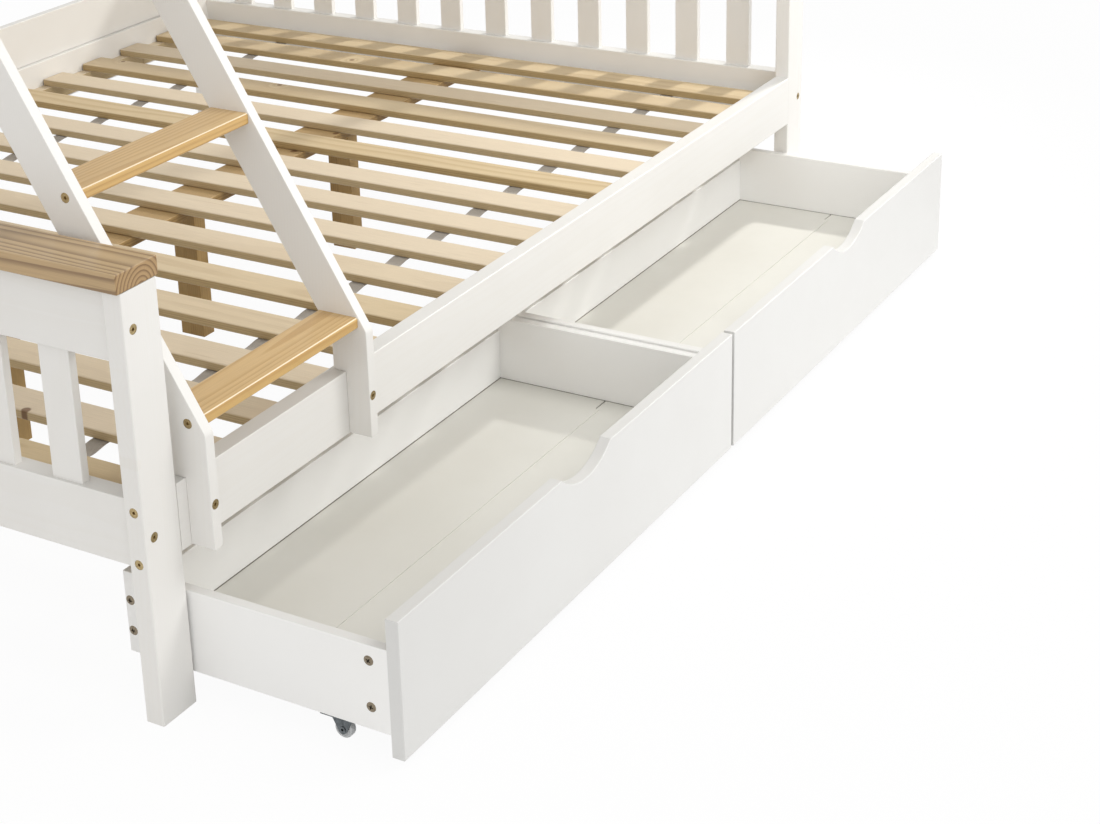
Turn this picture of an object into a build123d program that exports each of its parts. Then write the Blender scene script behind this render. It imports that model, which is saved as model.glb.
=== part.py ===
from build123d import *
import math
import os

os.makedirs("parts", exist_ok=True)

# A wooden bunk bed: a wide lower bunk, a narrower upper bunk set against the same back line, a
# sloping ladder hooked on the lower front rail, and two drawers that roll on the floor.
# Places are counted from the lower bunk's left end (x), its front face (y) and the floor (z), in
# millimetres. Each finished piece is then moved so that the origin is at the middle of the floor plan.

# Whole bed
bed_length = 1990
bed_width = 1456
lower_height = 577
upper_base = 602
upper_height = 1560
upper_front = 500
origin_x = bed_length / 2
origin_y = 573

# Posts and rails
post_width = 65
post_depth = 28
rail_thick = 27
rail_height = 92
lower_rail_base = 214
upper_rail_base = 1150
eased = 1.6

# End panels
end_rail_near = 7
end_rail_far = 35
spindle_width = 48
spindle_thick = 13
spindle_inset = 12
spindle_pitch = 109.6
lower_spindles = 12
upper_spindles = 8
cap_thick = 25
cap_overhang = 5

# Slats and what carries them
slat_width = 60
slat_thick = 14
slat_rise = 56
slat_pitch = 121.5
slat_first = 68
slat_last = 1872
slat_count = 16
slat_end_gap = 2
ledge_width = 23
ledge_height = 30
webbing_width = 28
webbing_thick = 1.2
webbing_inset = 0.16
beam_width = 88
beam_thick = 16
beam_end_gap = 1
leg_wide_strip = 29
leg_narrow_strip = 21
leg_thick = 29
leg_spacing = 475

# Guards
lower_guard_height = 92
guard_thick = 17
guard_width = 70
guard_rises = (60, 198)
guard_start = 470

# Ladder
stile_thick = 16.5
stile_left = 83
stile_right = 427.5
foot_front = -36.5
foot_base = 215
stile_bend = 370
stile_slope = 0.596
stile_back = 20
stile_back_bend = 353.7
tread_top = 389
tread_thick = 16
tread_rise = 263
tread_front = -24
tread_depth = 64
tread_count = 4

# Bolts
bolt_head_r = 6.5
bolt_shank_r = 3.0
bolt_sink = 0.3
bolt_head_depth = 4.2
bolt_play = 0.15
socket_across = 4.0
socket_depth = 2.6
cross_bolt_in = 17
side_bolt_rises = (10, 80)
cross_bolt_rise = 43
cross_bolt_length = 88
side_bolt_length = 108
nut_r = 5
nut_length = 14
nut_hole_depth = 27
nut_back = 10
thread_play = 0.05
pin_r = 4
pin_reach = 40

# Drawers
drawer_starts = {"left": 69, "right": 999}
drawer_width = 922
drawer_out = 310
front_thick = 18
front_base = 10
front_top = 200
side_thick = 15
side_base = 40
side_top = 157
back_top = 134
drawer_depth = 397
floor_top = 51
floor_thick = 6
floor_groove = 5
floor_play = 0.5
floor_joint = 191
strip_width = 14
strip_thick = 1.2
strip_end_gap = 34
panel_gap = 2.4
block_margin = 5
block_extra = 8
scoop_width = 137
scoop_depth = 26

# Casters
wheel_r = 12.5
wheel_width = 10
axle_r = 3.0
axle_play = 0.05
axle_hole_r = 1.7
cheek_thick = 1.4
cheek_gap = 0.5
plate_length = 42
plate_width = 27
caster_inset = 23
caster_backs = (83, 352)


def save(name, pieces):
    """Writes one node, moved so that the origin is at the middle of the floor plan."""
    group = pieces[0] if len(pieces) == 1 else Compound(children=list(pieces))
    export_step(Pos(-origin_x, -origin_y, 0) * group, f"parts/{name}.step")


def block(x, y, z):
    """A square-edged box from three (low, high) pairs."""
    middle = Pos((x[0] + x[1]) / 2, (y[0] + y[1]) / 2, (z[0] + z[1]) / 2)
    return middle * Box(x[1] - x[0], y[1] - y[0], z[1] - z[0])


def board(x, y, z, ease=eased, ends=False):
    """A planed board: its long edges are eased, and its end edges too where they show."""
    body = block(x, y, z)
    spans = {Axis.X: x[1] - x[0], Axis.Y: y[1] - y[0], Axis.Z: z[1] - z[0]}
    grain = max(spans, key=spans.get)
    edges = body.edges() if ends else body.edges().filter_by(grain)
    return fillet(edges, ease)


def mirrored(pair, whole):
    """The same span measured from the other side."""
    return (whole - pair[1], whole - pair[0])


def touches(one, other):
    """True where two bounding boxes overlap."""
    a = one.bounding_box()
    b = other.bounding_box()
    return (a.min.X < b.max.X and b.min.X < a.max.X and a.min.Y < b.max.Y
            and b.min.Y < a.max.Y and a.min.Z < b.max.Z and b.min.Z < a.max.Z)


def drilled(piece, spaces):
    """Takes out of a piece every bolt, nut or pin hole that reaches it."""
    for space in spaces:
        if touches(piece, space):
            piece = piece - space
    return piece


# Bolts, nuts and pins

def bolt_shape(length, play=0.0):
    """A countersunk bolt that points along +Z from the surface at z = 0."""
    head = bolt_head_r + play
    shank = bolt_shank_r + play
    top = 0 if play else bolt_sink
    outline = Polyline((0, top), (head, top), (head, bolt_sink + 0.9), (shank, bolt_head_depth),
                       (shank, length + play), (0, length + play), close=True)
    body = revolve(Plane.XZ * make_face(outline), Axis.Z)
    if play:
        return body
    hexagon = RegularPolygon(socket_across / 2, 6, major_radius=False)
    return body - Pos(0, 0, bolt_sink) * extrude(hexagon, socket_depth)


def aimed(shape, point, direction):
    """Places a shape made along +Z so that it starts at a point and runs in a direction."""
    return Plane(origin=point, z_dir=direction) * shape


def frame_bolts():
    """Each bolt as (point, direction, length, the way its nut hole faces)."""
    bolts = []
    tiers = ((0, lower_rail_base, lower_height - rail_height),
             (upper_front, upper_rail_base, upper_height - rail_height))
    for front, base, top_base in tiers:
        for across, inward in ((front, 1), (bed_width, -1)):
            for end, along in ((0, 1), (bed_length, -1)):
                for rise in side_bolt_rises:
                    place = (end, across + inward * rail_thick / 2, base + rise)
                    bolts.append((place, (along, 0, 0), side_bolt_length, (0, inward, 0)))
                for rail in (base, top_base):
                    place = (end + along * cross_bolt_in, across, rail + cross_bolt_rise)
                    bolts.append((place, (0, inward, 0), cross_bolt_length, (along, 0, 0)))
    return bolts


def ladder_bolts():
    """Each ladder bolt as (point, direction, length)."""
    bolts = []
    for stile in (stile_left, stile_right):
        middle = stile + stile_thick / 2
        bolts.append(((middle, foot_front, 275), (0, 1, 0), 58))
        inner_face = upper_front + rail_thick
        bolts.append(((middle, inner_face, upper_rail_base + 65), (0, -1, 0), 48))
    for step in range(tread_count):
        across = tread_front + 13 + step * tread_rise * stile_slope
        height = tread_top - tread_thick / 2 + step * tread_rise
        bolts.append(((stile_left, across, height), (1, 0, 0), 45))
        bolts.append(((stile_right + stile_thick, across, height), (-1, 0, 0), 45))
    return bolts


def nut_centre(point, direction, length):
    """Where a bolt's barrel nut sits, a little short of the bolt's tip."""
    return [p + d * (length - nut_back) for p, d in zip(point, direction)]


def nut_shape(point, direction, length, facing):
    """A barrel nut lying across the end of its bolt, threaded through."""
    middle = nut_centre(point, direction, length)
    barrel = aimed(Cylinder(nut_r, nut_length), middle, facing)
    thread = aimed(Cylinder(bolt_shank_r + thread_play, 4 * nut_r), middle, direction)
    return barrel - thread


def nut_space(point, direction, length, facing):
    """The blind hole that takes a barrel nut, drilled from the rail's inner face."""
    middle = nut_centre(point, direction, length)
    start = [m - f * (nut_length / 2 + bolt_play) for m, f in zip(middle, facing)]
    hole = Cylinder(nut_r + bolt_play, nut_hole_depth, align=(Align.CENTER, Align.CENTER, Align.MIN))
    return aimed(hole, start, facing)


def stacking_pin_spots():
    """Where the upper bunk's four posts stand on the lower bunk."""
    for x in (end_rail_far - 14, bed_length - end_rail_far + 14):
        for y in (upper_front + post_depth / 2, bed_width - post_depth / 2):
            yield x, y


def stacking_pin(x, y, play=0.0):
    """A steel pin through the cap into the post above and the wood below."""
    middle = (lower_height + upper_base) / 2
    return Pos(x, y, middle) * Cylinder(pin_r + play, cap_thick + 2 * pin_reach + 2 * play)


# Frame pieces

def post(x, y, z, spaces):
    return drilled(board(x, y, z, ease=2.2), spaces)


def posts(tier, front, z, spaces):
    """Four flat posts, one at each corner of a tier."""
    sides = {"front": (front, front + post_depth), "back": (bed_width - post_depth, bed_width)}
    ends = {"left": (0, post_width), "right": (bed_length - post_width, bed_length)}
    for side, y in sides.items():
        for end, x in ends.items():
            save(f"{tier}_post_{side}_{end}", [post(x, y, z, spaces)])


def end_panels(tier, front, base, top, count, spaces):
    """Two rails across each end, with flat upright spindles between them."""
    y = (front + post_depth, bed_width - post_depth)
    middle = (y[0] + y[1]) / 2
    rail_x = (end_rail_near, end_rail_far)
    spindle_x = (spindle_inset, spindle_inset + spindle_thick)
    spindle_z = (base + rail_height, top - rail_height)
    for end in ("left", "right"):
        x = rail_x if end == "left" else mirrored(rail_x, bed_length)
        lower = board(x, y, (base, base + rail_height))
        upper = board(x, y, (top - rail_height, top))
        save(f"{tier}_end_rails_{end}", [drilled(lower, spaces), drilled(upper, spaces)])
        x = spindle_x if end == "left" else mirrored(spindle_x, bed_length)
        row = []
        for i in range(count):
            centre = middle + (i - (count - 1) / 2) * spindle_pitch
            across = (centre - spindle_width / 2, centre + spindle_width / 2)
            row.append(board(x, across, spindle_z, ease=1.2))
        save(f"{tier}_spindles_{end}", row)


def caps(tier, front, base, spaces):
    """The natural wood board on top of each end."""
    near = (-cap_overhang, post_width + cap_overhang)
    pieces = []
    for x in (near, mirrored(near, bed_length)):
        piece = board(x, (front, bed_width), (base, base + cap_thick), ease=2.0, ends=True)
        pieces.append(drilled(piece, spaces))
    save(f"{tier}_caps", pieces)


def side_rails(tier, front, base, spaces):
    """The long rails between the posts, flush with the posts' outer faces."""
    x = (post_width, bed_length - post_width)
    z = (base, base + rail_height)
    front_rail = board(x, (front, front + rail_thick), z)
    back_rail = board(x, (bed_width - rail_thick, bed_width), z)
    save(f"{tier}_rail_front", [drilled(front_rail, spaces)])
    save(f"{tier}_rail_back", [drilled(back_rail, spaces)])


def ledges(front, base):
    """Battens inside both side rails that the slats lie on."""
    x = (post_width, bed_length - post_width)
    top = base + slat_rise - slat_thick
    y = (front + rail_thick, front + rail_thick + ledge_width)
    z = (top - ledge_height, top)
    return [board(x, y, z), board(x, mirrored(y, bed_width + front), z)]


def slats(tier, front, base):
    """Loose boards across the bed, the last one pushed up to its neighbour."""
    y = (front + rail_thick + slat_end_gap, bed_width - rail_thick - slat_end_gap)
    top = base + slat_rise
    starts = [slat_first + i * slat_pitch for i in range(slat_count - 1)] + [slat_last]
    row = []
    for start in starts:
        row.append(board((start, start + slat_width), y, (top - slat_thick, top), ease=3.0, ends=True))
    save(f"{tier}_slats", row)


def webbing(front, base):
    """Two straps under a tier's slats that keep them apart."""
    top = base + slat_rise - slat_thick
    span = bed_width - front
    straps = []
    for middle in (front + webbing_inset * span, bed_width - 1.25 * webbing_inset * span):
        y = (middle - webbing_width / 2, middle + webbing_width / 2)
        straps.append(block((slat_first, slat_last + slat_width), y, (top - webbing_thick, top)))
    return straps


def beam():
    """A flat board down the middle under the lower slats."""
    x = (end_rail_far + beam_end_gap, bed_length - end_rail_far - beam_end_gap)
    y = ((bed_width - beam_width) / 2, (bed_width + beam_width) / 2)
    top = lower_rail_base + slat_rise - slat_thick
    save("centre_beam", [board(x, y, (top - beam_thick, top))])


def beam_legs():
    """Three legs under the beam, each glued up from two strips."""
    top = lower_rail_base + slat_rise - slat_thick - beam_thick
    start = (bed_width - leg_wide_strip - leg_narrow_strip) / 2
    joint = start + leg_wide_strip
    strips = []
    for offset in (-leg_spacing, 0, leg_spacing):
        x = (bed_length / 2 + offset - leg_thick / 2, bed_length / 2 + offset + leg_thick / 2)
        strips.append(board(x, (start, joint), (0, top), ease=0.8))
        strips.append(board(x, (joint, joint + leg_narrow_strip), (0, top), ease=0.8))
    save("beam_legs", strips)


def guards():
    """Boards that keep a sleeper in, with a gap in front for the ladder."""
    x = (post_width, bed_length - post_width)
    back = (bed_width - guard_thick, bed_width)
    start = lower_rail_base + rail_height
    save("lower_back_guard", [board(x, back, (start, start + lower_guard_height))])
    top = upper_rail_base + rail_height
    save("upper_guard_back", [board(x, back, (top + rise, top + rise + guard_width)) for rise in guard_rises])
    upright_x = (guard_start, guard_start + post_width)
    height = top + guard_rises[-1] + guard_width
    pieces = [board(upright_x, (upper_front, upper_front + post_depth), (top, height), ease=2.2)]
    y = (upper_front + 5, upper_front + 5 + guard_thick)
    for rise in guard_rises:
        pieces.append(board((upright_x[1], x[1]), y, (top + rise, top + rise + guard_width)))
    save("upper_guard_front", pieces)


# Ladder

def stile(x, spaces):
    """A side board of the ladder: a plumb foot hooked on the lower rail, then a slope up to the
    upper rail, where it is cut off plumb and level."""
    rail_top = lower_rail_base + rail_height
    top = upper_rail_base + rail_height
    front_top = foot_front + stile_slope * (top - stile_bend)
    back_end = stile_back_bend + (upper_front - stile_back) / stile_slope
    corners = [(foot_front, foot_base), (foot_front, stile_bend), (front_top, top),
               (upper_front, top), (upper_front, back_end), (stile_back, stile_back_bend),
               (stile_back, rail_top), (0, rail_top), (0, foot_base)]
    outline = make_face(Polyline(*corners, close=True))
    rounded = [corners[1], corners[5], corners[2]]
    spots = [v for v in outline.vertices() if any(math.dist((v.X, v.Y), c) < 0.01 for c in rounded)]
    outline = fillet(spots, 14)
    lip = [v for v in outline.vertices() if math.dist((v.X, v.Y), corners[6]) < 0.01]
    outline = fillet(lip, 5)
    side = Plane(origin=(x, 0, 0), x_dir=(0, 1, 0), z_dir=(1, 0, 0)) * outline
    body = extrude(side, stile_thick, dir=(1, 0, 0))
    faces = body.faces().filter_by(Axis.X)
    edges = [edge for face in faces for edge in face.outer_wire().edges()]
    return drilled(fillet(edges, 1.2), spaces)


def tread(step, spaces):
    """A level step between the stiles, moved back with the slope."""
    shift = step * tread_rise * stile_slope
    x = (stile_left + stile_thick, stile_right)
    y = (tread_front + shift, min(tread_front + tread_depth + shift, upper_front - 1))
    top = tread_top + step * tread_rise
    return drilled(board(x, y, (top - tread_thick, top), ease=3.5), spaces)


# Drawers

def drawer_front(start, middle):
    """The front board, with a shallow curved hand scoop in its top edge."""
    y = (-drawer_out, -drawer_out + front_thick)
    body = block((start, start + drawer_width), y, (front_base, front_top))
    radius = (scoop_width ** 2 / 4 + scoop_depth ** 2) / (2 * scoop_depth)
    centre = front_top - scoop_depth + radius
    scoop = Pos(middle, (y[0] + y[1]) / 2, centre) * Rot(90, 0, 0) * Cylinder(radius, front_thick * 2)
    body = body - scoop
    body = body - floor_panel(start, floor_play)
    outer = body.edges().filter_by(lambda e: abs(e.center().Y - y[0]) < 0.01)
    inner = body.edges().filter_by(lambda e: abs(e.center().Y - y[1]) < 0.01 and e.center().Z > side_top)
    return fillet(outer + inner, 1.4)


def floor_panel(start, play=0.0):
    """The whole floor, which runs in grooves in the front and the sides and under the back."""
    x = (start + side_thick - floor_groove - play, start + drawer_width - side_thick + floor_groove + play)
    y = (-drawer_out + front_thick - floor_groove - play, -drawer_out + front_thick + drawer_depth + play)
    return block(x, y, (floor_top - floor_thick - play, floor_top + play))


def drawer_sides(start):
    """Left and right side boards behind the front."""
    y = (-drawer_out + front_thick, -drawer_out + front_thick + drawer_depth)
    groove = floor_panel(start, floor_play)
    left = board((start, start + side_thick), y, (side_base, side_top)) - groove
    far = start + drawer_width
    right = board((far - side_thick, far), y, (side_base, side_top)) - groove
    return left, right


def drawer_back(start):
    """The low back board between the sides, standing on the floor."""
    y_back = -drawer_out + front_thick + drawer_depth
    x = (start + side_thick, start + drawer_width - side_thick)
    return board(x, (y_back - side_thick, y_back), (floor_top, back_top))


def drawer_floor(start):
    """Two thin panels joined along the drawer by a strip, and a block over each caster."""
    joint = -drawer_out + front_thick + floor_joint
    whole = floor_panel(start)
    box = whole.bounding_box()
    x = (box.min.X, box.max.X)
    z = (box.min.Z, box.max.Z)
    front_half = block(x, (box.min.Y, joint - panel_gap / 2), z)
    back_half = block(x, (joint + panel_gap / 2, box.max.Y), z)
    inner = (start + side_thick + floor_play, start + drawer_width - side_thick - strip_end_gap)
    web = block(inner, (joint - panel_gap / 2, joint + panel_gap / 2), z)
    lip = block(inner, (joint - strip_width / 2, joint + strip_width / 2), (z[1], z[1] + strip_thick))
    pieces = [front_half, back_half, web + lip]
    for x0, y0, inward in caster_spots(start):
        edge = x0 - inward * (caster_inset - side_thick)
        span = sorted((edge, edge + inward * (plate_width - side_thick + block_extra)))
        half = plate_length / 2 + block_margin
        pieces.append(block(span, (y0 - half, y0 + half), (side_base, z[0])))
    return pieces


def caster_spots(start):
    """The centre of each caster as (x, y, direction to the drawer's middle)."""
    for back in caster_backs:
        y = -drawer_out + front_thick + back
        yield start + caster_inset, y, 1
        yield start + drawer_width - caster_inset, y, -1


def caster_bracket(x, y, inward):
    """A folded steel bracket: a plate under the drawer and a tapered cheek on each side of the
    wheel, with a hollow rivet through both cheeks as the axle."""
    plate_top = side_base
    half = plate_length / 2
    near = x - inward * (caster_inset - 1)
    plate = block(sorted((near, near + inward * (plate_width + 7))), (y - half, y + half),
                  (plate_top - cheek_thick, plate_top))
    side = wheel_width / 2 + cheek_gap
    tip = 6.2
    outline = make_hull(Circle(tip).edges() + Polyline((-half, 26), (half, 26)).edges())
    cheek = extrude(outline, cheek_thick)
    face = Plane(origin=(x, y, wheel_r), x_dir=(0, 1, 0), z_dir=(1, 0, 0))
    pair = []
    for offset in (side, -side - cheek_thick):
        pair.append(face * Pos(0, 0, offset) * cheek)
    pair.append(plate)
    folded = pair[0] + pair[1] + pair[2]
    folded = folded & block((x - 40, x + 40), (y - half, y + half), (0, plate_top))
    axle = face * Pos(0, 0, -side - cheek_thick) * extrude(Circle(axle_r), 2 * (side + cheek_thick))
    folded = folded - axle
    collar = extrude(Circle(axle_r + 1.6), 0.8)
    axle = axle + face * Pos(0, 0, side + cheek_thick) * collar
    axle = axle + face * Pos(0, 0, -side - cheek_thick - 0.8) * collar
    bore = face * Pos(0, 0, -20) * extrude(Circle(axle_hole_r), 40)
    return [folded, axle - bore]


def wheel(x, y):
    """A small solid wheel with rounded shoulders and a running fit on its axle."""
    body = Cylinder(wheel_r, wheel_width)
    body = fillet(body.edges(), 1.5)
    for side in (1, -1):
        ring = Cylinder(wheel_r - 3, 0.8) - Cylinder(axle_r + 2, 0.8)
        body = body - Pos(0, 0, side * (wheel_width / 2 - 0.4)) * ring
    body = body - Cylinder(axle_r + axle_play, wheel_width * 2)
    return Pos(x, y, wheel_r) * Rot(0, 90, 0) * body


def drawer(name, start):
    """One drawer with its four casters."""
    middle = start + drawer_width / 2
    save(f"drawer_{name}_front", [drawer_front(start, middle)])
    left, right = drawer_sides(start)
    save(f"drawer_{name}_side_left", [left])
    save(f"drawer_{name}_side_right", [right])
    save(f"drawer_{name}_back", [drawer_back(start)])
    save(f"drawer_{name}_floor", drawer_floor(start))
    brackets = []
    labels = ("front_left", "front_right", "back_left", "back_right")
    for label, (x, y, inward) in zip(labels, caster_spots(start)):
        brackets += caster_bracket(x, y, inward)
        save(f"drawer_{name}_wheel_{label}", [wheel(x, y)])
    save(f"drawer_{name}_casters", brackets)


def bed():
    """The whole bunk bed, node by node."""
    spaces = []
    bolts = []
    nuts = []
    for point, direction, length, facing in frame_bolts():
        bolts.append(aimed(bolt_shape(length), point, direction))
        spaces.append(aimed(bolt_shape(length, bolt_play), point, direction))
        nuts.append(nut_shape(point, direction, length, facing))
        spaces.append(nut_space(point, direction, length, facing))
    for point, direction, length in ladder_bolts():
        bolts.append(aimed(bolt_shape(length), point, direction))
        spaces.append(aimed(bolt_shape(length, bolt_play), point, direction))
    for x, y in stacking_pin_spots():
        spaces.append(stacking_pin(x, y, 0.1))
    save("frame_bolts", bolts)
    save("barrel_nuts", nuts)
    save("stacking_pins", [stacking_pin(x, y) for x, y in stacking_pin_spots()])

    posts("lower", 0, (0, lower_height), spaces)
    posts("upper", upper_front, (upper_base, upper_height), spaces)
    end_panels("lower", 0, lower_rail_base, lower_height, lower_spindles, spaces)
    end_panels("upper", upper_front, upper_rail_base, upper_height, upper_spindles, spaces)
    caps("lower", 0, lower_height, spaces)
    caps("upper", upper_front, upper_height, [])
    side_rails("lower", 0, lower_rail_base, spaces)
    side_rails("upper", upper_front, upper_rail_base, spaces)
    save("slat_ledges", ledges(0, lower_rail_base) + ledges(upper_front, upper_rail_base))
    slats("lower", 0, lower_rail_base)
    slats("upper", upper_front, upper_rail_base)
    save("webbing", webbing(0, lower_rail_base) + webbing(upper_front, upper_rail_base))
    beam()
    beam_legs()
    guards()

    save("ladder_stile_left", [stile(stile_left, spaces)])
    save("ladder_stile_right", [stile(stile_right, spaces)])
    for step in range(tread_count):
        save(f"ladder_tread_{step + 1}", [tread(step, spaces)])

    for name, start in drawer_starts.items():
        drawer(name, start)


bed()
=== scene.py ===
import math

import bpy
import numpy as np
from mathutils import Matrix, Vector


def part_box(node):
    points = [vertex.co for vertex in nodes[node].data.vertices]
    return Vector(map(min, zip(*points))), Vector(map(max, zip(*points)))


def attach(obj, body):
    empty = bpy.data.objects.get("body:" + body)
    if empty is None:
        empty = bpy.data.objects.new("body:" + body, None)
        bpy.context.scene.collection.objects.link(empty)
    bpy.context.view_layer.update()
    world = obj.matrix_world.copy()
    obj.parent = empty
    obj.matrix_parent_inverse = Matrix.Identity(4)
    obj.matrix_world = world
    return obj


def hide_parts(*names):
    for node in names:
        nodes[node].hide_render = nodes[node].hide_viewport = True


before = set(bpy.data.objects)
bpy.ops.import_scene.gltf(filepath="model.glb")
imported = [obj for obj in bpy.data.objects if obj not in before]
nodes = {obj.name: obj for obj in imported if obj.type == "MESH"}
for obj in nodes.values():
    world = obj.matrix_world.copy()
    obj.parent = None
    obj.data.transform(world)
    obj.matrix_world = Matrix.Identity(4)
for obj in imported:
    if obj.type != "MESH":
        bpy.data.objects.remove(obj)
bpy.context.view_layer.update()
print("frame loaded with", len(nodes), "nodes")


# small helpers for node trees

def fill(tree, made, values):
    # gives a node's inputs, by name or number, a constant or a link from another node's output
    for name, value in values.items():
        if isinstance(value, bpy.types.NodeSocket):
            tree.links.new(value, made.inputs[name])
        else:
            made.inputs[name].default_value = value


def put(tree, kind, values=None, **settings):
    # adds one node: settings go on the node itself, values fill its inputs
    made = tree.nodes.new(kind)
    for name, value in settings.items():
        setattr(made, name, value)
    fill(tree, made, values or {})
    return made


def calc(tree, operation, a, b=0.0, c=0.0):
    return put(tree, "ShaderNodeMath", {0: a, 1: b, 2: c}, operation=operation).outputs[0]


def plus(tree, a, b):
    return calc(tree, "ADD", a, b)


def minus(tree, a, b):
    return calc(tree, "SUBTRACT", a, b)


def times(tree, a, b):
    return calc(tree, "MULTIPLY", a, b)


def over(tree, a, b):
    return calc(tree, "DIVIDE", a, b)


def ramp(tree, value, span, start=0.0, end=1.0):
    # smooth step from start to end while value goes through span
    made = put(tree, "ShaderNodeMapRange", {"Value": value, "From Min": span[0], "From Max": span[1],
                                            "To Min": start, "To Max": end})
    made.interpolation_type = "SMOOTHSTEP"
    return made.outputs[0]


def blendColor(tree, factor, a, b, mode="MIX"):
    links = {0: factor, 6: a, 7: b}
    return put(tree, "ShaderNodeMix", links, data_type="RGBA", blend_type=mode).outputs[2]


def tinted(tree, color, tint):
    return blendColor(tree, 1.0, color, tint, mode="MULTIPLY")


def vectorCalc(tree, operation, a, b=(0.0, 0.0, 0.0)):
    return put(tree, "ShaderNodeVectorMath", {0: a, 1: b}, operation=operation).outputs[0]


def split(tree, vector):
    return put(tree, "ShaderNodeSeparateXYZ", {0: vector}).outputs


def surface(tree, kind):
    # kind is Object for a place on the object, Generated for a way in the world, Normal or UV
    return put(tree, "ShaderNodeTexCoord").outputs[kind]


def noise(tree, vector, scale=1.0, detail=2.0, roughness=0.5):
    links = {"Vector": vector, "Scale": scale, "Detail": detail, "Roughness": roughness}
    return put(tree, "ShaderNodeTexNoise", links).outputs["Fac"]


def gray(v):
    return (v, v, v, 1.0)


def emptyTree(holder):
    holder.use_nodes = True
    holder.node_tree.nodes.clear()
    return holder.node_tree


def newGroup(name, inputs, outputs):
    # a shader group with named sockets; an input is (name, kind, default)
    tree = bpy.data.node_groups.new(name, "ShaderNodeTree")
    for label, kind, default in inputs:
        socket = tree.interface.new_socket(label, in_out="INPUT", socket_type="NodeSocket" + kind)
        socket.default_value = default
    for label, kind in outputs:
        tree.interface.new_socket(label, in_out="OUTPUT", socket_type="NodeSocket" + kind)
    return tree, tree.nodes.new("NodeGroupInput").outputs, tree.nodes.new("NodeGroupOutput").inputs


def useGroup(tree, group, links):
    return put(tree, "ShaderNodeGroup", links, node_tree=group).outputs


def newMaterial(name):
    made = bpy.data.materials.new(name)
    tree = emptyTree(made)
    shader = tree.nodes.new("ShaderNodeBsdfPrincipled")
    tree.links.new(shader.outputs[0], tree.nodes.new("ShaderNodeOutputMaterial").inputs["Surface"])
    return made, tree, shader


def bumped(tree, height, strength, distance):
    links = {"Strength": strength, "Distance": distance, "Height": height}
    return put(tree, "ShaderNodeBump", links).outputs[0]


# grain: growth rings round a pith that lies outside the board, fibres, flecks and knots

# lengths are in metres, and a stretch is a noise scale across, through and along the board
grainShape = {"seedShift": 37.0, "knotCells": 7.0, "knotJitter": 0.9, "knotLeast": 0.0025,
              "knotSpread": 0.006, "knotRim": (1.15, 0.7), "bendRim": (5.0, 0.5), "bend": 0.006,
              "warpStretch": (7.0, 7.0, 1.1), "warp": 0.022, "lean": 0.03,
              "pithAcross": 0.11, "pithDepth": -0.055, "pithLeast": -0.012,
              "lateRise": (0.35, 0.88), "lateFall": (1.0, 0.93),
              "fibreStretch": (1400.0, 1400.0, 18.0), "fleckStretch": (420.0, 420.0, 9.0),
              "fleckCut": (0.66, 0.78), "toneStretch": (4.0, 4.0, 0.8),
              "toneNoise": 0.45, "toneSeed": 0.55}


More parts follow.
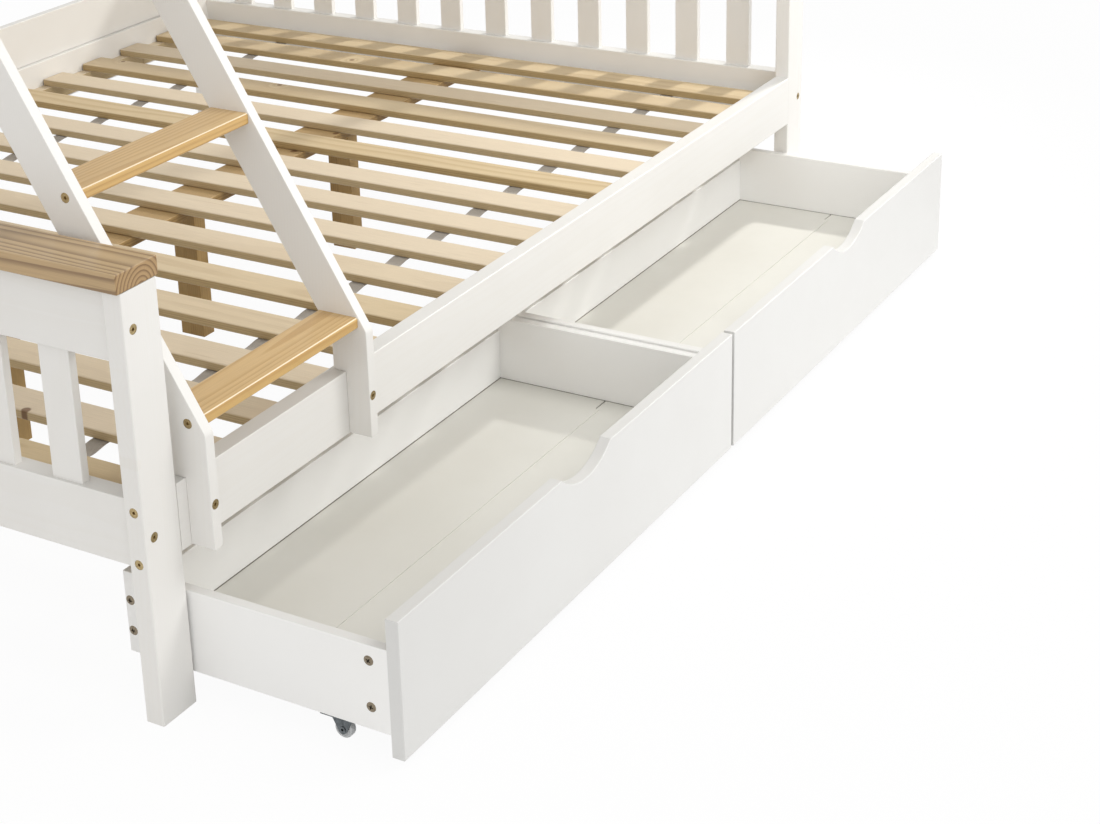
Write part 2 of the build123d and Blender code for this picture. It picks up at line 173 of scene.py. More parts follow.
def makeGrainGroup():
    inputs = [("Across", "Float", 0.0), ("Depth", "Float", 0.0), ("Along", "Float", 0.0),
              ("Seed", "Color", gray(0.5)), ("Ring Width", "Float", 0.003), ("Knots", "Float", 0.3)]
    outputs = [("Latewood", "Float"), ("Fibre", "Float"), ("Fleck", "Float"), ("Knot", "Float"),
               ("Tone", "Float")]
    tree, take, give = newGroup("woodGrain", inputs, outputs)
    shape = grainShape
    seed = put(tree, "ShaderNodeSeparateColor", {0: take["Seed"]}).outputs
    shift = times(tree, seed[0], shape["seedShift"])
    along = plus(tree, take["Along"], shift)
    place = put(tree, "ShaderNodeCombineXYZ", {0: take["Across"], 1: take["Depth"], 2: along}).outputs[0]

    def about(value, spread):
        # a value between 0 and 1 turned into one spread evenly about 0
        return times(tree, minus(tree, value, 0.5), spread)

    def stretched(stretch):
        return vectorCalc(tree, "MULTIPLY", place, stretch)

    # knots: one in each of some cells of the face, with the rings bent round it
    face = put(tree, "ShaderNodeCombineXYZ", {0: plus(tree, take["Across"], shift), 1: along}).outputs[0]
    links = {"Vector": face, "Scale": shape["knotCells"], "Randomness": shape["knotJitter"]}
    cells = put(tree, "ShaderNodeTexVoronoi", links, voronoi_dimensions="2D")
    pick = put(tree, "ShaderNodeSeparateColor", {0: cells.outputs["Color"]}).outputs
    chosen = calc(tree, "LESS_THAN", pick[0], take["Knots"])
    apart = over(tree, cells.outputs["Distance"], shape["knotCells"])
    size = calc(tree, "MULTIPLY_ADD", pick[1], shape["knotSpread"], shape["knotLeast"])
    knot = times(tree, ramp(tree, over(tree, apart, size), shape["knotRim"]), chosen)
    bend = times(tree, ramp(tree, over(tree, apart, size), shape["bendRim"]), chosen)

    # rings: distance from the pith, warped a little, cut into years
    warp = about(noise(tree, stretched(shape["warpStretch"])), shape["warp"])
    leaning = times(tree, take["Along"], about(seed[2], shape["lean"]))
    pithAcross = plus(tree, about(seed[0], shape["pithAcross"]), leaning)
    pithDepth = calc(tree, "MULTIPLY_ADD", seed[1], shape["pithDepth"], shape["pithLeast"])
    dx = minus(tree, take["Across"], pithAcross)
    dy = minus(tree, take["Depth"], pithDepth)
    radius = calc(tree, "SQRT", plus(tree, times(tree, dx, dx), times(tree, dy, dy)))
    radius = plus(tree, plus(tree, radius, warp), times(tree, bend, shape["bend"]))
    year = calc(tree, "FRACT", over(tree, radius, take["Ring Width"]))
    late = times(tree, ramp(tree, year, shape["lateRise"]), ramp(tree, year, shape["lateFall"]))

    fibre = noise(tree, stretched(shape["fibreStretch"]), detail=3.0, roughness=0.6)
    fleck = ramp(tree, noise(tree, stretched(shape["fleckStretch"]), detail=1.0), shape["fleckCut"])
    tone = noise(tree, stretched(shape["toneStretch"]), detail=3.0)
    tone = calc(tree, "MULTIPLY_ADD", tone, shape["toneNoise"], times(tree, seed[1], shape["toneSeed"]))
    results = {"Latewood": late, "Fibre": fibre, "Fleck": fleck, "Knot": knot, "Tone": tone}
    for name, value in results.items():
        tree.links.new(value, give[name])
    return tree


# board place: where a point lies in its own board, and a random colour for each board

def makeBoardGroup():
    inputs = [("Cell", "Vector", (1.0, 1.0, 1.0)), ("Start", "Vector", (0.0, 0.0, 0.0))]
    outputs = [("Local", "Vector"), ("Seed", "Color")]
    tree, take, give = newGroup("boardPlace", inputs, outputs)
    fromStart = vectorCalc(tree, "SUBTRACT", surface(tree, "Object"), take["Start"])
    steps = vectorCalc(tree, "DIVIDE", fromStart, take["Cell"])
    whole = vectorCalc(tree, "FLOOR", steps)
    part = vectorCalc(tree, "SUBTRACT", steps, whole)
    part = vectorCalc(tree, "SUBTRACT", part, (0.5, 0.5, 0.5))
    tree.links.new(vectorCalc(tree, "MULTIPLY", part, take["Cell"]), give["Local"])
    random = put(tree, "ShaderNodeTexWhiteNoise", {"Vector": whole}).outputs["Color"]
    tree.links.new(random, give["Seed"])
    return tree


grainGroup = makeGrainGroup()
boardGroup = makeBoardGroup()

# which axis of the object runs along a board, as component numbers (across, depth, along);
# edgeY is a board on edge along y
grainAxes = {"x": (1, 2, 0), "y": (0, 2, 1), "z": (0, 1, 2), "edgeY": (2, 0, 1)}


def boardGrain(tree, look):
    # grain values for a board whose layout is given by look
    place = useGroup(tree, boardGroup, {"Cell": look["cell"], "Start": look["start"]})
    part = split(tree, place["Local"])
    across, depth, along = grainAxes[look["axis"]]
    grain = useGroup(tree, grainGroup, {"Across": part[across], "Depth": part[depth],
                                       "Along": part[along], "Seed": place["Seed"],
                                       "Ring Width": look["ringWidth"], "Knots": look["knots"]})
    return dict(grain.items(), Height=part[2])


# bare and lacquered softwood

# a span is the pair of values between which an effect comes in
woodDetail = {"toneSpan": (0.25, 0.75), "knotCover": 0.85, "fibreSpan": (0.3, 0.7),
              "sideShadeSpan": (0.75, 0.4), "glueWave": 6.0, "glueDrift": 0.0015,
              "glueRise": (0.80, 0.9), "glueFall": (1.0, 0.93),
              "endSpan": (0.55, 0.8), "highlightSpan": (-0.3, -0.6), "roughSpread": 0.16, "endRough": 0.2,
              "coatRoughness": 0.22, "ringHeight": 0.6, "knotHeight": 0.8, "bumpDistance": 0.0002}


def woodMaterial(name, look):
    made, tree, shader = newMaterial(name)
    detail = woodDetail
    grain = boardGrain(tree, look)
    lateShare = times(tree, grain["Latewood"], look["contrast"])
    color = blendColor(tree, lateShare, look["early"], look["late"])
    toneShare = ramp(tree, grain["Tone"], detail["toneSpan"], 0.0, look["toneSpread"])
    color = blendColor(tree, toneShare, color, look["tone"])
    color = blendColor(tree, times(tree, grain["Fleck"], look["flecks"]), color, look["late"])
    color = blendColor(tree, times(tree, grain["Knot"], detail["knotCover"]), color, look["knotColor"])
    fibres = ramp(tree, grain["Fibre"], detail["fibreSpan"], 1.0 - look["fibres"], 1.0)
    fibreGray = put(tree, "ShaderNodeCombineColor", {0: fibres, 1: fibres, 2: fibres}).outputs[0]
    color = tinted(tree, color, fibreGray)
    # painted shade: the sides, picked by their normals, are painted darker than the top
    normal = split(tree, surface(tree, "Normal"))
    side = ramp(tree, calc(tree, "ABSOLUTE", normal[2]), detail["sideShadeSpan"])
    color = blendColor(tree, side, color, tinted(tree, color, look["sideShadeTint"]))
    # glue lines between the plies, waving a little along the board
    here = surface(tree, "Object")
    drift = times(tree, noise(tree, here, scale=detail["glueWave"], detail=1.0), detail["glueDrift"])
    layer = calc(tree, "FRACT", over(tree, plus(tree, split(tree, here)[2], drift), look["ply"]))
    line = times(tree, ramp(tree, layer, detail["glueRise"]), ramp(tree, layer, detail["glueFall"]))
    line = times(tree, times(tree, line, side), look["glueLines"])
    color = blendColor(tree, line, color, look["knotColor"])
    # the sawn ends, where the board's own axis comes out
    facing = calc(tree, "ABSOLUTE", normal[grainAxes[look["axis"]][2]])
    ends = ramp(tree, facing, detail["endSpan"])
    color = blendColor(tree, ends, color, tinted(tree, color, look["endTint"]))
    # painted highlight: a thin bright line is painted where a tread's front meets its top, for the shine
    # of the lacquer there
    nearTop = calc(tree, "GREATER_THAN", grain["Height"], look["highlightFrom"])
    highlightLine = times(tree, ramp(tree, normal[1], detail["highlightSpan"]), nearTop)
    color = blendColor(tree, times(tree, highlightLine, look["edgeHighlight"]), color, look["highlightTint"])
    smoothest = look["roughness"] - detail["roughSpread"] / 2
    rough = calc(tree, "MULTIPLY_ADD", grain["Fibre"], detail["roughSpread"], smoothest)
    height = calc(tree, "MULTIPLY_ADD", grain["Latewood"], detail["ringHeight"], grain["Fibre"])
    height = plus(tree, height, times(tree, grain["Knot"], detail["knotHeight"]))
    fill(tree, shader, {"Base Color": color,
                        "Roughness": plus(tree, rough, times(tree, ends, detail["endRough"])),
                        "Specular IOR Level": look["specular"], "Coat Weight": look["coat"],
                        "Coat Roughness": detail["coatRoughness"],
                        "Normal": bumped(tree, height, look["bump"], detail["bumpDistance"])})
    return made


# white paint over wood: a warm white film that lets a little of the grain through

paintDetail = {"cloudScale": 5.0, "cloudSpan": (0.3, 0.7), "creaseShadeCover": 0.9, "topSpan": (0.6, 0.9),
               "topShadeSpan": (0.1, 0.9), "topShadeLeast": 0.75, "peelScale": 650.0, "peelHeight": 0.35,
               "brushScale": 60.0, "roughSpread": 0.14, "specular": 0.45, "bumpDistance": 0.0002}


def paintMaterial(name, look):
    made, tree, shader = newMaterial(name)
    detail = paintDetail
    grain = boardGrain(tree, look)
    here = surface(tree, "Object")
    part = split(tree, here)
    cloud = noise(tree, here, scale=detail["cloudScale"], detail=3.0)
    color = blendColor(tree, ramp(tree, cloud, detail["cloudSpan"]), look["white"], look["shade"])
    grainShare = times(tree, grain["Latewood"], look["grainShows"])
    color = blendColor(tree, grainShare, color, look["grainTint"])
    color = blendColor(tree, times(tree, grain["Knot"], look["knotShows"]), color, look["knotTint"])
    # painted shade: dark lines are painted where this board meets its neighbours, for the shade in the
    # creases there; the joints are planes of x and y, in metres
    for axis, spots in enumerate(look["joints"]):
        for spot in spots:
            away = calc(tree, "ABSOLUTE", minus(tree, part[axis], spot))
            cover = ramp(tree, away, (look["creaseShadeWidth"], 0.0), 0.0, detail["creaseShadeCover"])
            color = blendColor(tree, cover, color, look["creaseShadeTint"])
    # painted shade: upward faces are painted darker, mottled by the cloud
    upward = ramp(tree, split(tree, surface(tree, "Normal"))[2], detail["topSpan"])
    dustAndShade = times(tree, upward, ramp(tree, cloud, detail["topShadeSpan"], detail["topShadeLeast"], 1.0))
    color = blendColor(tree, times(tree, dustAndShade, look["topShade"]), color, look["topShadeTint"])
    peel = noise(tree, here, scale=detail["peelScale"])
    brush = noise(tree, here, scale=detail["brushScale"])
    smoothest = look["roughness"] - detail["roughSpread"] / 2
    rough = calc(tree, "MULTIPLY_ADD", brush, detail["roughSpread"], smoothest)
    film = times(tree, peel, detail["peelHeight"])
    height = calc(tree, "MULTIPLY_ADD", grain["Fibre"], look["fibreHeight"], film)
    height = plus(tree, height, times(tree, grain["Latewood"], look["grainHeight"]))
    fill(tree, shader, {"Base Color": color, "Roughness": rough,
                        "Specular IOR Level": detail["specular"],
                        "Normal": bumped(tree, height, look["bump"], detail["bumpDistance"])})
    return made


# plated steel and brass, moulded plastic, woven strap

metalDetail = {"cloudSpan": (0.3, 0.7), "cloudRough": 0.25, "fineScale": 3500.0, "bump": 0.25,
               "bumpDistance": 0.00005}
plasticDetail = {"cloudScale": 180.0, "fineScale": 2200.0, "fineRough": 0.2, "bump": 0.2,
                 "bumpDistance": 0.0001}
weaveDetail = {"span": (-0.8, 0.8), "cloudScale": 90.0, "dustShare": 0.4, "roughness": 0.85,
               "sheen": 0.2, "bump": 0.6, "bumpDistance": 0.0003}


def metalMaterial(name, look):
    made, tree, shader = newMaterial(name)
    detail = metalDetail
    here = surface(tree, "Object")
    cloud = noise(tree, here, scale=look["cloudScale"], detail=4.0, roughness=0.65)
    color = blendColor(tree, ramp(tree, cloud, detail["cloudSpan"]), look["light"], look["dark"])
    # painted shade: the screws' cross pockets are painted near black, for the shade that fills them
    if "pocketShade" in look:
        pocket = put(tree, "ShaderNodeAttribute", attribute_name="pocket").outputs["Fac"]
        color = blendColor(tree, pocket, color, look["pocketShade"])
    fine = noise(tree, here, scale=detail["fineScale"])
    rough = calc(tree, "MULTIPLY_ADD", cloud, detail["cloudRough"], look["roughness"])
    fill(tree, shader, {"Base Color": color, "Metallic": look["metallic"], "Roughness": rough,
                        "Normal": bumped(tree, fine, detail["bump"], detail["bumpDistance"])})
    return made


def plasticMaterial(name, look):
    made, tree, shader = newMaterial(name)
    detail = plasticDetail
    here = surface(tree, "Object")
    cloud = noise(tree, here, scale=detail["cloudScale"], detail=3.0)
    fine = noise(tree, here, scale=detail["fineScale"])
    rough = calc(tree, "MULTIPLY_ADD", fine, detail["fineRough"], look["roughness"])
    fill(tree, shader, {"Base Color": blendColor(tree, cloud, look["light"], look["dark"]),
                        "Roughness": rough,
                        "Normal": bumped(tree, fine, detail["bump"], detail["bumpDistance"])})
    return made


def strapMaterial(name, look):
    # plain weave on the strap's own lengths: u along it and v across it, in metres
    made, tree, shader = newMaterial(name)
    detail = weaveDetail
    uv = split(tree, surface(tree, "UV"))
    warp = calc(tree, "SINE", times(tree, uv[1], math.pi / look["yarn"]))
    weft = calc(tree, "SINE", times(tree, uv[0], math.pi / look["yarn"]))
    weave = times(tree, warp, weft)
    cloud = noise(tree, surface(tree, "Object"), scale=detail["cloudScale"], detail=3.0)
    color = blendColor(tree, ramp(tree, weave, detail["span"]), look["dark"], look["light"])
    color = blendColor(tree, times(tree, cloud, detail["dustShare"]), color, look["dustAndShade"])
    fill(tree, shader, {"Base Color": color, "Roughness": detail["roughness"],
                        "Sheen Weight": detail["sheen"],
                        "Normal": bumped(tree, weave, detail["bump"], detail["bumpDistance"])})
    return made


# places in the bed

centre = (0.995, 0.573)  # the origin, counted from the bed's left end and front face
slatLayout = {"first": 0.068, "width": 0.060, "pitch": 0.1215, "last": 1.872, "count": 16}
spindleLayout = {"firstGap": 0.0704, "pitch": 0.1096}


def fromEnd(x):
    return x - centre[0]


def fromFront(y):
    return y - centre[1]


def drawerJoints():
    # the inner faces of the drawers' sides (x) and of their fronts and backs (y), where the drawer floor
    # takes lines of painted shade
    sides = []
    for side in ("left", "right"):
        sides.append(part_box("drawer_" + side + "_side_left")[1].x)
        sides.append(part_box("drawer_" + side + "_side_right")[0].x)
    ends = [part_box("drawer_left_front")[1].y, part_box("drawer_left_back")[0].y]
    return sides, ends


# what a user would change in the finishes

# the top tint is painted shade on upward faces, and the joint tint is painted shade in the creases where
# boards meet
paintLook = {"white": (0.835, 0.822, 0.795, 1.0), "shade": (0.815, 0.800, 0.770, 1.0),
             "grainTint": (0.78, 0.75, 0.69, 1.0), "grainShows": 0.12,
             "knotTint": (0.72, 0.66, 0.55, 1.0), "knotShows": 0.12,
             "roughness": 0.38, "fibreHeight": 0.5, "grainHeight": 0.25, "bump": 0.35,
             "ringWidth": 0.0035, "knots": 0.12, "topShade": 0.8, "topShadeTint": (0.60, 0.595, 0.575, 1.0),
             "joints": (), "creaseShadeWidth": 0.0022, "creaseShadeTint": (0.10, 0.085, 0.065, 1.0)}
drawerLook = dict(paintLook, white=(0.925, 0.921, 0.908, 1.0), shade=(0.915, 0.909, 0.892, 1.0),
                  grainShows=0.0, knotShows=0.0, fibreHeight=0.08, grainHeight=0.0, bump=0.2,
                  roughness=0.34)
# the drawer fronts are a darker copy of the drawer white: painted shade, offsetting the stronger light
# that falls on them
shadedFrontLook = dict(drawerLook, white=(0.71, 0.708, 0.695, 1.0), shade=(0.695, 0.691, 0.676, 1.0))
floorLook = dict(drawerLook, white=(0.65, 0.643, 0.60, 1.0), shade=(0.62, 0.612, 0.565, 1.0),
                 roughness=0.42, topShade=0.0, joints=drawerJoints())
# the side tint paints the sides of the boards darker: painted shade
slatLook = {"early": (0.60, 0.475, 0.29, 1.0), "late": (0.44, 0.315, 0.165, 1.0),
            "tone": (0.68, 0.58, 0.44, 1.0), "knotColor": (0.16, 0.075, 0.03, 1.0),
            "contrast": 0.5, "toneSpread": 0.9, "flecks": 0.3, "fibres": 0.14,
            "endTint": (0.80, 0.74, 0.66, 1.0), "sideShadeTint": (0.82, 0.75, 0.58, 1.0),
            "roughness": 0.55, "specular": 0.35, "coat": 0.0, "bump": 0.5, "ringWidth": 0.0042,
            "knots": 0.06, "ply": 0.0034, "glueLines": 0.4,
            "edgeHighlight": 0.0, "highlightFrom": 0.0066, "highlightTint": (0.93, 0.80, 0.58, 1.0)}
# the treads carry a painted highlight, a bright line along the top of their front edge
treadLook = dict(slatLook, early=(0.67, 0.46, 0.21, 1.0), late=(0.47, 0.26, 0.08, 1.0),
                 tone=(0.70, 0.52, 0.27, 1.0), knots=0.0, roughness=0.36, specular=0.5, coat=0.25,
                 ringWidth=0.0062, flecks=0.35, sideShadeTint=(1.0, 0.93, 0.72, 1.0), glueLines=0.0,
                 edgeHighlight=0.85)
capLook = dict(treadLook, early=(0.52, 0.37, 0.20, 1.0), late=(0.23, 0.14, 0.065, 1.0),
               tone=(0.56, 0.41, 0.23, 1.0), contrast=0.85, endTint=(0.86, 0.80, 0.70, 1.0),
               sideShadeTint=(1.0, 0.96, 0.9, 1.0), edgeHighlight=0.0)
beamLook = dict(slatLook, early=(0.42, 0.285, 0.13, 1.0), late=(0.25, 0.15, 0.06, 1.0),
                tone=(0.58, 0.42, 0.22, 1.0), contrast=0.8, knots=0.25, glueLines=0.0)
boltFinish = {"light": (0.60, 0.47, 0.25, 1.0), "dark": (0.30, 0.22, 0.11, 1.0),
              "metallic": 1.0, "roughness": 0.30, "cloudScale": 600.0}
screwFinish = {"light": (0.36, 0.30, 0.22, 1.0), "dark": (0.17, 0.14, 0.10, 1.0),
               "pocketShade": (0.012, 0.010, 0.008, 1.0), "metallic": 1.0, "roughness": 0.32,
               "cloudScale": 700.0}
steelFinish = {"light": (0.17, 0.185, 0.195, 1.0), "dark": (0.09, 0.10, 0.105, 1.0),
               "metallic": 1.0, "roughness": 0.28, "cloudScale": 220.0}
wheelFinish = {"light": (0.66, 0.67, 0.68, 1.0), "dark": (0.56, 0.57, 0.58, 1.0), "roughness": 0.35}
strapFinish = {"light": (0.42, 0.38, 0.33, 1.0), "dark": (0.20, 0.18, 0.155, 1.0),
               "dustAndShade": (0.40, 0.36, 0.31, 1.0), "yarn": 0.0011}

# layouts of boards in metres: cell is the room of one board, wide open where the board runs on,
# and start is a corner of the first cell
openCell = 10.0
openStart = -openCell / 2
slatRoom = (slatLayout["pitch"] - slatLayout["width"]) / 2
layouts = {
    "alongX": {"axis": "x", "cell": (openCell, 0.25, 0.20), "start": (openStart, -0.05, 0.0)},
    "alongY": {"axis": "edgeY", "cell": (1.0, openCell, 0.16), "start": (-1.02, openStart, 0.05)},
    "capY": {"axis": "y", "cell": (1.0, openCell, 0.5), "start": (-1.4625, openStart, 0.34)},
    "alongZ": {"axis": "z", "cell": (0.5, 0.5, openCell), "start": (-1.22, -0.81, openStart)},
    "slats": {"axis": "y", "cell": (slatLayout["pitch"], openCell, openCell),
              "start": (fromEnd(slatLayout["first"] - slatRoom), openStart, openStart)},
    "spindles": {"axis": "z", "cell": (1.0, spindleLayout["pitch"], openCell),
                 "start": (-1.0, fromFront(spindleLayout["firstGap"]), openStart)},
    "treads": {"axis": "x", "cell": (openCell, 0.1567, 0.263), "start": (openStart, -0.636, 0.2495)},
    "legs": {"axis": "z", "cell": (0.475, 0.029, openCell),
             "start": (-1.1875, fromFront(0.703), openStart)},
}


def painted(name, look, layout):
    return paintMaterial(name, dict(look, **layouts[layout]))


def wooden(name, look, layout):
    return woodMaterial(name, dict(look, **layouts[layout]))


materials = {
    "paintX": painted("whitePaintAlongX", paintLook, "alongX"),
    "paintY": painted("whitePaintAlongY", paintLook, "alongY"),
    "paintZ": painted("whitePaintAlongZ", paintLook, "alongZ"),
    "paintSpindle": painted("whitePaintSpindle", paintLook, "spindles"),
    "drawerWhite": painted("drawerWhite", drawerLook, "alongX"),
    "drawerFrontShaded": painted("drawerFrontShadedWhite", shadedFrontLook, "alongX"),
    "drawerFloor": painted("drawerFloorBoard", floorLook, "alongX"),
    "slat": wooden("slatPine", slatLook, "slats"),
    "ledge": wooden("ledgePine", slatLook, "alongX"),
    "tread": wooden("treadPine", treadLook, "treads"),
    "cap": wooden("capPine", capLook, "capY"),
    "beam": wooden("beamPine", beamLook, "alongX"),
    "leg": wooden("legPine", beamLook, "legs"),
    "bolt": metalMaterial("boltBrass", boltFinish),
    "screw": metalMaterial("screwBronze", screwFinish),
    "steel": metalMaterial("platedSteel", steelFinish),
    "wheel": plasticMaterial("wheelPlastic", wheelFinish),
    "strap": strapMaterial("strapWeave", strapFinish),
}
print("materials made:", len(materials))

# the first of these words found in a CAD node's name gives its material; the last row takes the rest
finishWords = [
    ("wheel", "wheel"), ("casters", "steel"), ("barrel_nuts", "steel"), ("stacking_pins", "steel"),
    ("frame_bolts", "bolt"), ("drawer_left_front", "drawerFrontShaded"), ("drawer_right_front", "drawerFrontShaded"),
    ("floor", "drawerFloor"), ("drawer", "drawerWhite"), ("slats", "slat"), ("slat_ledges", "ledge"),
    ("caps", "cap"), ("tread", "tread"), ("centre_beam", "beam"), ("beam_legs", "leg"),
    ("webbing", "strap"), ("spindles", "paintSpindle"), ("end_rails", "paintY"), ("post", "paintZ"),
    ("stile", "paintZ"), ("", "paintX"),
]


def finishFor(name):
    return next(finish for word, finish in finishWords if word in name)


for name, shown in nodes.items():
    shown.data.materials.clear()
    shown.data.materials.append(materials[finishFor(name)])
print("finishes given to the frame")


# new pieces are rows of points worked out as whole arrays

def ringRows(points):
    # points has shape (rows, columns, 3): each row is a closed ring, and neighbours make quads
    rows, cols = points.shape[:2]
    index = np.arange(rows * cols).reshape(rows, cols)
    index = np.concatenate([index, index[:, :1]], axis=1)
    quads = np.stack([index[:-1, :-1], index[:-1, 1:], index[1:, 1:], index[1:, :-1]], axis=-1)
    return points.reshape(-1, 3), quads.reshape(-1, 4)


def joinParts(name, parts, material):
    # joins (points, quads, end faces) parts into one object
    points = []
    faces = []
    offset = 0
    for partPoints, quads, ends in parts:
        points.append(partPoints)
        faces += (quads + offset).tolist()
        faces += [(end + offset).tolist() for end in ends]
        offset += len(partPoints)
    mesh = bpy.data.meshes.new(name)
    mesh.from_pydata(np.concatenate(points).tolist(), [], faces)
    mesh.update()
    mesh.materials.append(materials[material])
    piece = bpy.data.objects.new(name, mesh)
    bpy.context.scene.collection.objects.link(piece)
    return piece


# cross-head screws

screwLook = {"radius": 0.0067, "dome": 0.0016, "lift": 0.0001, "skirt": 0.0012, "pocket": 0.0013,
             "armWidth": 0.0012, "armLength": 0.0034, "wallFoot": 1.6, "endSlope": 0.0005,
             "frontIn": 0.0265, "frontHeights": (0.136, 0.072),
             "rearIn": 0.0075, "rearHeights": (0.116, 0.072),
             "firstTurn": 0.6, "turnStep": 1.1, "rings": 14, "spokes": 48}


def screwPart(middle, outward, turn):
    # a disc whose height is a shallow dome less a cross-shaped pocket,
    # h(r, a) = lift + dome * (1 - (r / radius)^2) - pocket * share of the cross at (r, a),
    # with a skirt from the rim into the board; returns the part and the cross's share at each point
    look = screwLook
    rings = np.linspace(1.0, 0.0, look["rings"])[:, None]
    angles = np.linspace(0, 2 * math.pi, look["spokes"], endpoint=False)[None, :]
    r = rings * look["radius"]
    u = r * np.cos(angles)
    v = r * np.sin(angles)
    s = u * math.cos(turn) + v * math.sin(turn)
    t = v * math.cos(turn) - u * math.sin(turn)
    fromArm = np.minimum(np.abs(s), np.abs(t)) / (look["armWidth"] / 2)
    fromArmEnd = (look["armLength"] - r) / look["endSlope"]
    cross = np.clip(look["wallFoot"] - fromArm, 0, 1) * np.clip(fromArmEnd, 0, 1)
    h = look["dome"] * (1 - rings ** 2) + look["lift"] - look["pocket"] * cross
    front = np.stack([np.broadcast_to(outward * h, u.shape), u, v], axis=-1) + np.asarray(middle)
    skirt = front[:1].copy()
    skirt[..., 0] = middle[0] - outward * look["skirt"]
    points, quads = ringRows(np.concatenate([skirt, front[:1], front], axis=0))
    base = np.arange(look["spokes"])
    if outward > 0:
        quads = quads[:, ::-1]
    else:
        base = base[::-1]
    # the cross's share at each point sets where shade is painted into the pocket
    shares = np.concatenate([np.zeros((2, look["spokes"])), cross])
    return (points, quads, [base]), shares.ravel()


def makeScrews(label, side):
    look = screwLook
    low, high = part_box("drawer_" + side + "_side_left")
    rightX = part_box("drawer_" + side + "_side_right")[1].x
    spots = []
    for frontZ, rearZ in zip(look["frontHeights"], look["rearHeights"]):
        for x, outward in ((low.x, -1), (rightX, 1)):
            spots.append(((x, low.y + look["frontIn"], frontZ), outward))
            spots.append(((x, high.y - look["rearIn"], rearZ), outward))
    parts = []
    pocketShadeShares = []
    for i, (spot, outward) in enumerate(spots):
        part, shares = screwPart(spot, outward, look["firstTurn"] + look["turnStep"] * i)
        parts.append(part)
        pocketShadeShares.append(shares)
    piece = joinParts(label, parts, "screw")
    # the pocket layer marks where painted shade darkens the cross pockets
    layer = piece.data.attributes.new("pocket", "FLOAT", "POINT")
    layer.data.foreach_set("value", np.concatenate(pocketShadeShares).astype(np.float32))
    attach(piece, "drawer_" + side)


for side in ("left", "right"):
    makeScrews("drawer_" + side + "_screws", side)
print("drawer screws made")


# straps

strapLook = {"sag": 0.0035, "thick": 0.0011, "width": 0.0275, "step": 0.004, "under": 0.0002,
             "section": ((-1, 0.3), (-0.94, 0), (0, 0), (0.94, 0), (1, 0.3),
                         (1, 0.7), (0.94, 1), (0, 1), (-0.94, 1), (-1, 0.7)),
             "lowerTop": 0.256, "lowerIn": 0.014, "lowerBack": 1.1648,
             "upperTop": 1.192, "upperFront": 0.65296, "upperBack": 1.2648}


def slatStarts():
    starts = [slatLayout["first"] + i * slatLayout["pitch"] for i in range(slatLayout["count"] - 1)]
    return fromEnd(np.array(starts + [slatLayout["last"]]))


def strapPart(middleY, topZ):
    # a flat band along the bed that sags between slats,
    # z(x) = top - sag * sin^2(pi * share), where share runs from 0 to 1 over each gap
    look = strapLook
    starts = slatStarts()
    ends = starts + slatLayout["width"]
    x = np.arange(starts[0], ends[-1], look["step"])
    gap = np.clip(np.searchsorted(ends, x) - 1, 0, len(starts) - 2)
    share = np.clip((x - ends[gap]) / (starts[gap + 1] - ends[gap]), 0, 1)
    top = topZ - look["under"] - look["sag"] * np.sin(math.pi * share) ** 2
    # the section's corners run round the band: across in half widths, down in thicknesses
    across, down = np.array(look["section"]).T
    across = across * look["width"] / 2
    down = down * look["thick"]
    points = np.empty((len(x), len(across), 3))
    points[..., 0] = x[:, None]
    points[..., 1] = middleY + across[None, :]
    points[..., 2] = top[:, None] - down[None, :]
    flat, quads = ringRows(points)
    first = np.arange(len(across))
    last = first + len(flat) - len(across)
    return flat, quads, [first, last[::-1]]


def makeStraps():
    look = strapLook
    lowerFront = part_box("webbing")[0].y + look["lowerIn"]
    parts = [strapPart(lowerFront, look["lowerTop"]),
             strapPart(fromFront(look["lowerBack"]), look["lowerTop"]),
             strapPart(fromFront(look["upperFront"]), look["upperTop"]),
             strapPart(fromFront(look["upperBack"]), look["upperTop"])]
    piece = joinParts("webbing_straps", parts, "strap")
    # the weave follows x and y, because the straps run along x
    layer = piece.data.uv_layers.new(name="strapLengths")
    corners = np.empty(len(piece.data.loops), dtype=np.int32)
    piece.data.loops.foreach_get("vertex_index", corners)
    lengths = np.concatenate([part[0][:, :2] for part in parts])[corners]
    layer.data.foreach_set("uv", lengths.astype(np.float32).ravel())
    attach(piece, "bed_frame")
    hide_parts("webbing")


makeStraps()
print("straps made")


# camera at the photograph's place

cameraLook = {"place": (-2.6422, -2.0726, 1.4693), "turn": (69.0518, 2.1181, -58.6403), "lens": 68.296,
              "sensor": 36.0, "shift": (0.07873, -0.15882), "farthest": 60.0}


def makeCamera():
    camera = bpy.data.objects.new("camera", bpy.data.cameras.new("camera"))
    bpy.context.scene.collection.objects.link(camera)
    camera.location = cameraLook["place"]
    camera.rotation_euler = [math.radians(a) for a in cameraLook["turn"]]
    camera.data.sensor_fit = "HORIZONTAL"
    camera.data.sensor_width = cameraLook["sensor"]
    camera.data.lens = cameraLook["lens"]
    camera.data.shift_x, camera.data.shift_y = cameraLook["shift"]
    camera.data.clip_end = cameraLook["farthest"]
    bpy.context.scene.camera = camera


# studio: pale floor, white surround for the camera, soft lamps

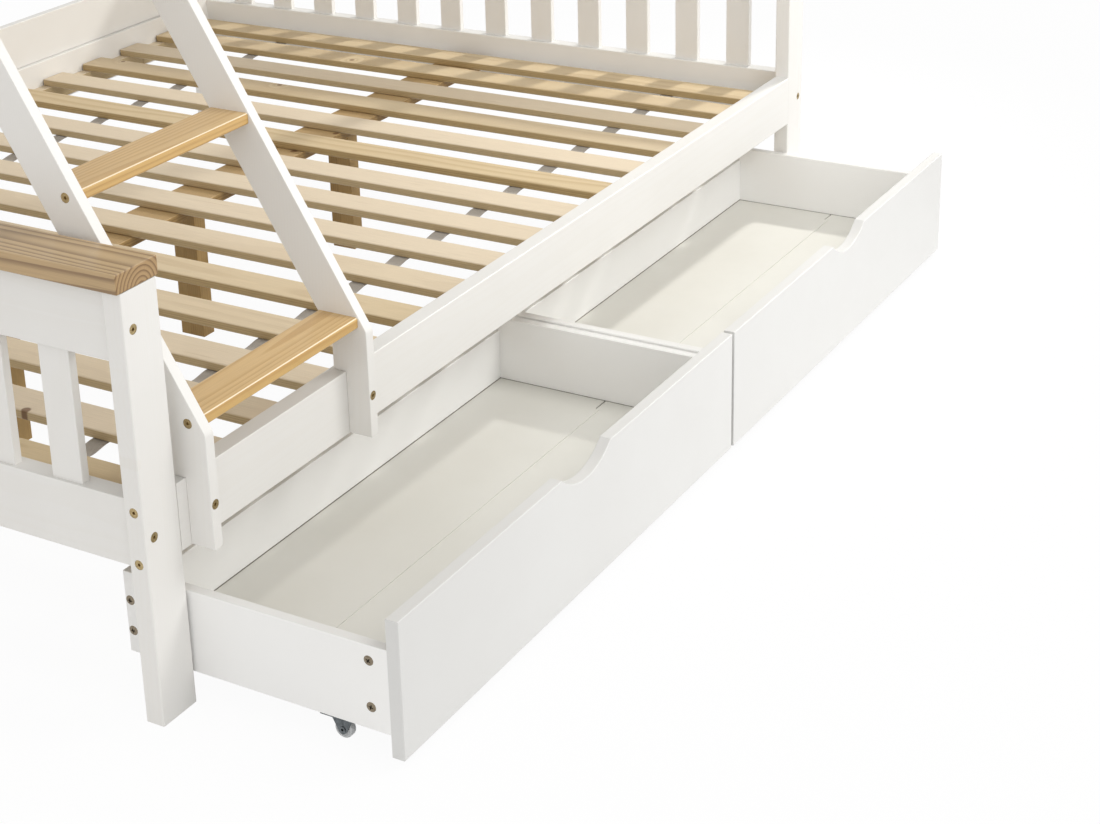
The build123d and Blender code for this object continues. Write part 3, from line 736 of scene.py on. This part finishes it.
studioLook = {"floorSize": 14.0, "floorDrop": 0.0002, "floorColor": (0.80, 0.80, 0.80, 1.0),
              "floorWhite": 0.95, "around": 0.88, "front": 0.30, "frontWay": (-0.10, -0.73, 0.68),
              "rightLess": 0.5, "tint": (1.0, 0.995, 0.985, 1.0)}
lampLooks = {
    "drawerFill": {"kind": "AREA", "place": (0.3, -1.95, 1.75), "aim": (0.1, -0.4, 0.05), "size": 1.0,
                   "power": 18.0, "color": (1.0, 0.99, 0.975)},
    "rightKey": {"kind": "SPOT", "place": (3.65, -0.93, 3.0), "aim": (0.95, -0.02, 0.22), "size": 0.32,
                 "power": 430.0, "color": (1.0, 0.985, 0.95), "cone": 40.0, "blend": 0.9},
}


def seenShare(tree):
    # 1 for rays of the camera, straight or by way of gloss or glass, and 0 for diffuse light
    path = put(tree, "ShaderNodeLightPath").outputs
    mirrored = calc(tree, "MAXIMUM", path["Is Glossy Ray"], path["Is Transmission Ray"])
    return calc(tree, "MAXIMUM", path["Is Camera Ray"], mirrored)


def makeFloor():
    half = studioLook["floorSize"] / 2
    z = -studioLook["floorDrop"]
    mesh = bpy.data.meshes.new("studioFloor")
    corners = [(-half, -half, z), (half, -half, z), (half, half, z), (-half, half, z)]
    mesh.from_pydata(corners, [], [(0, 1, 2, 3)])
    floor = bpy.data.objects.new("studioFloor", mesh)
    bpy.context.scene.collection.objects.link(floor)
    made = bpy.data.materials.new("studioFloor")
    tree = emptyTree(made)
    matt = put(tree, "ShaderNodeBsdfDiffuse", {"Color": studioLook["floorColor"]}).outputs[0]
    white = put(tree, "ShaderNodeEmission", {"Color": gray(1.0), "Strength": 1.0}).outputs[0]
    share = times(tree, seenShare(tree), studioLook["floorWhite"])
    mixed = put(tree, "ShaderNodeMixShader", {0: share, 1: matt, 2: white}).outputs[0]
    tree.links.new(mixed, tree.nodes.new("ShaderNodeOutputMaterial").inputs["Surface"])
    mesh.materials.append(made)


def makeWorld():
    world = bpy.data.worlds.new("studio")
    bpy.context.scene.world = world
    tree = emptyTree(world)
    # light from all around, more of it from high in front and less from the right, where the key stands
    way = surface(tree, "Generated")
    facing = put(tree, "ShaderNodeVectorMath", {0: way, 1: studioLook["frontWay"]},
                 operation="DOT_PRODUCT").outputs["Value"]
    lobe = calc(tree, "POWER", calc(tree, "MAXIMUM", facing, 0.0), 2.0)
    rightward = calc(tree, "MAXIMUM", split(tree, way)[0], 0.0)
    level = calc(tree, "MULTIPLY_ADD", lobe, studioLook["front"], studioLook["around"])
    level = minus(tree, level, times(tree, rightward, studioLook["rightLess"]))
    lit = put(tree, "ShaderNodeBackground", {"Color": studioLook["tint"], "Strength": level}).outputs[0]
    white = put(tree, "ShaderNodeBackground", {"Color": gray(1.0), "Strength": 1.0}).outputs[0]
    mixed = put(tree, "ShaderNodeMixShader", {0: seenShare(tree), 1: lit, 2: white}).outputs[0]
    tree.links.new(mixed, tree.nodes.new("ShaderNodeOutputWorld").inputs["Surface"])


def makeLamps():
    for name, look in lampLooks.items():
        lamp = bpy.data.objects.new(name, bpy.data.lights.new(name, look["kind"]))
        bpy.context.scene.collection.objects.link(lamp)
        if look["kind"] == "SPOT":
            lamp.data.shadow_soft_size = look["size"] / 2
            lamp.data.spot_size = math.radians(look["cone"])
            lamp.data.spot_blend = look["blend"]
        else:
            lamp.data.shape = "DISK"
            lamp.data.size = look["size"]
        lamp.data.energy = look["power"]
        lamp.data.color = look["color"]
        lamp.visible_camera = False
        # a lamp shines along its own minus z, so its z axis points away from the aim
        away = np.array(look["place"]) - np.array(look["aim"])
        away /= np.linalg.norm(away)
        lamp.location = look["place"]
        lamp.rotation_euler = (math.acos(away[2]), 0.0, math.atan2(away[0], -away[1]))


makeCamera()
makeFloor()
makeWorld()
makeLamps()
bpy.context.scene.view_settings.view_transform = "Standard"
print("studio ready")
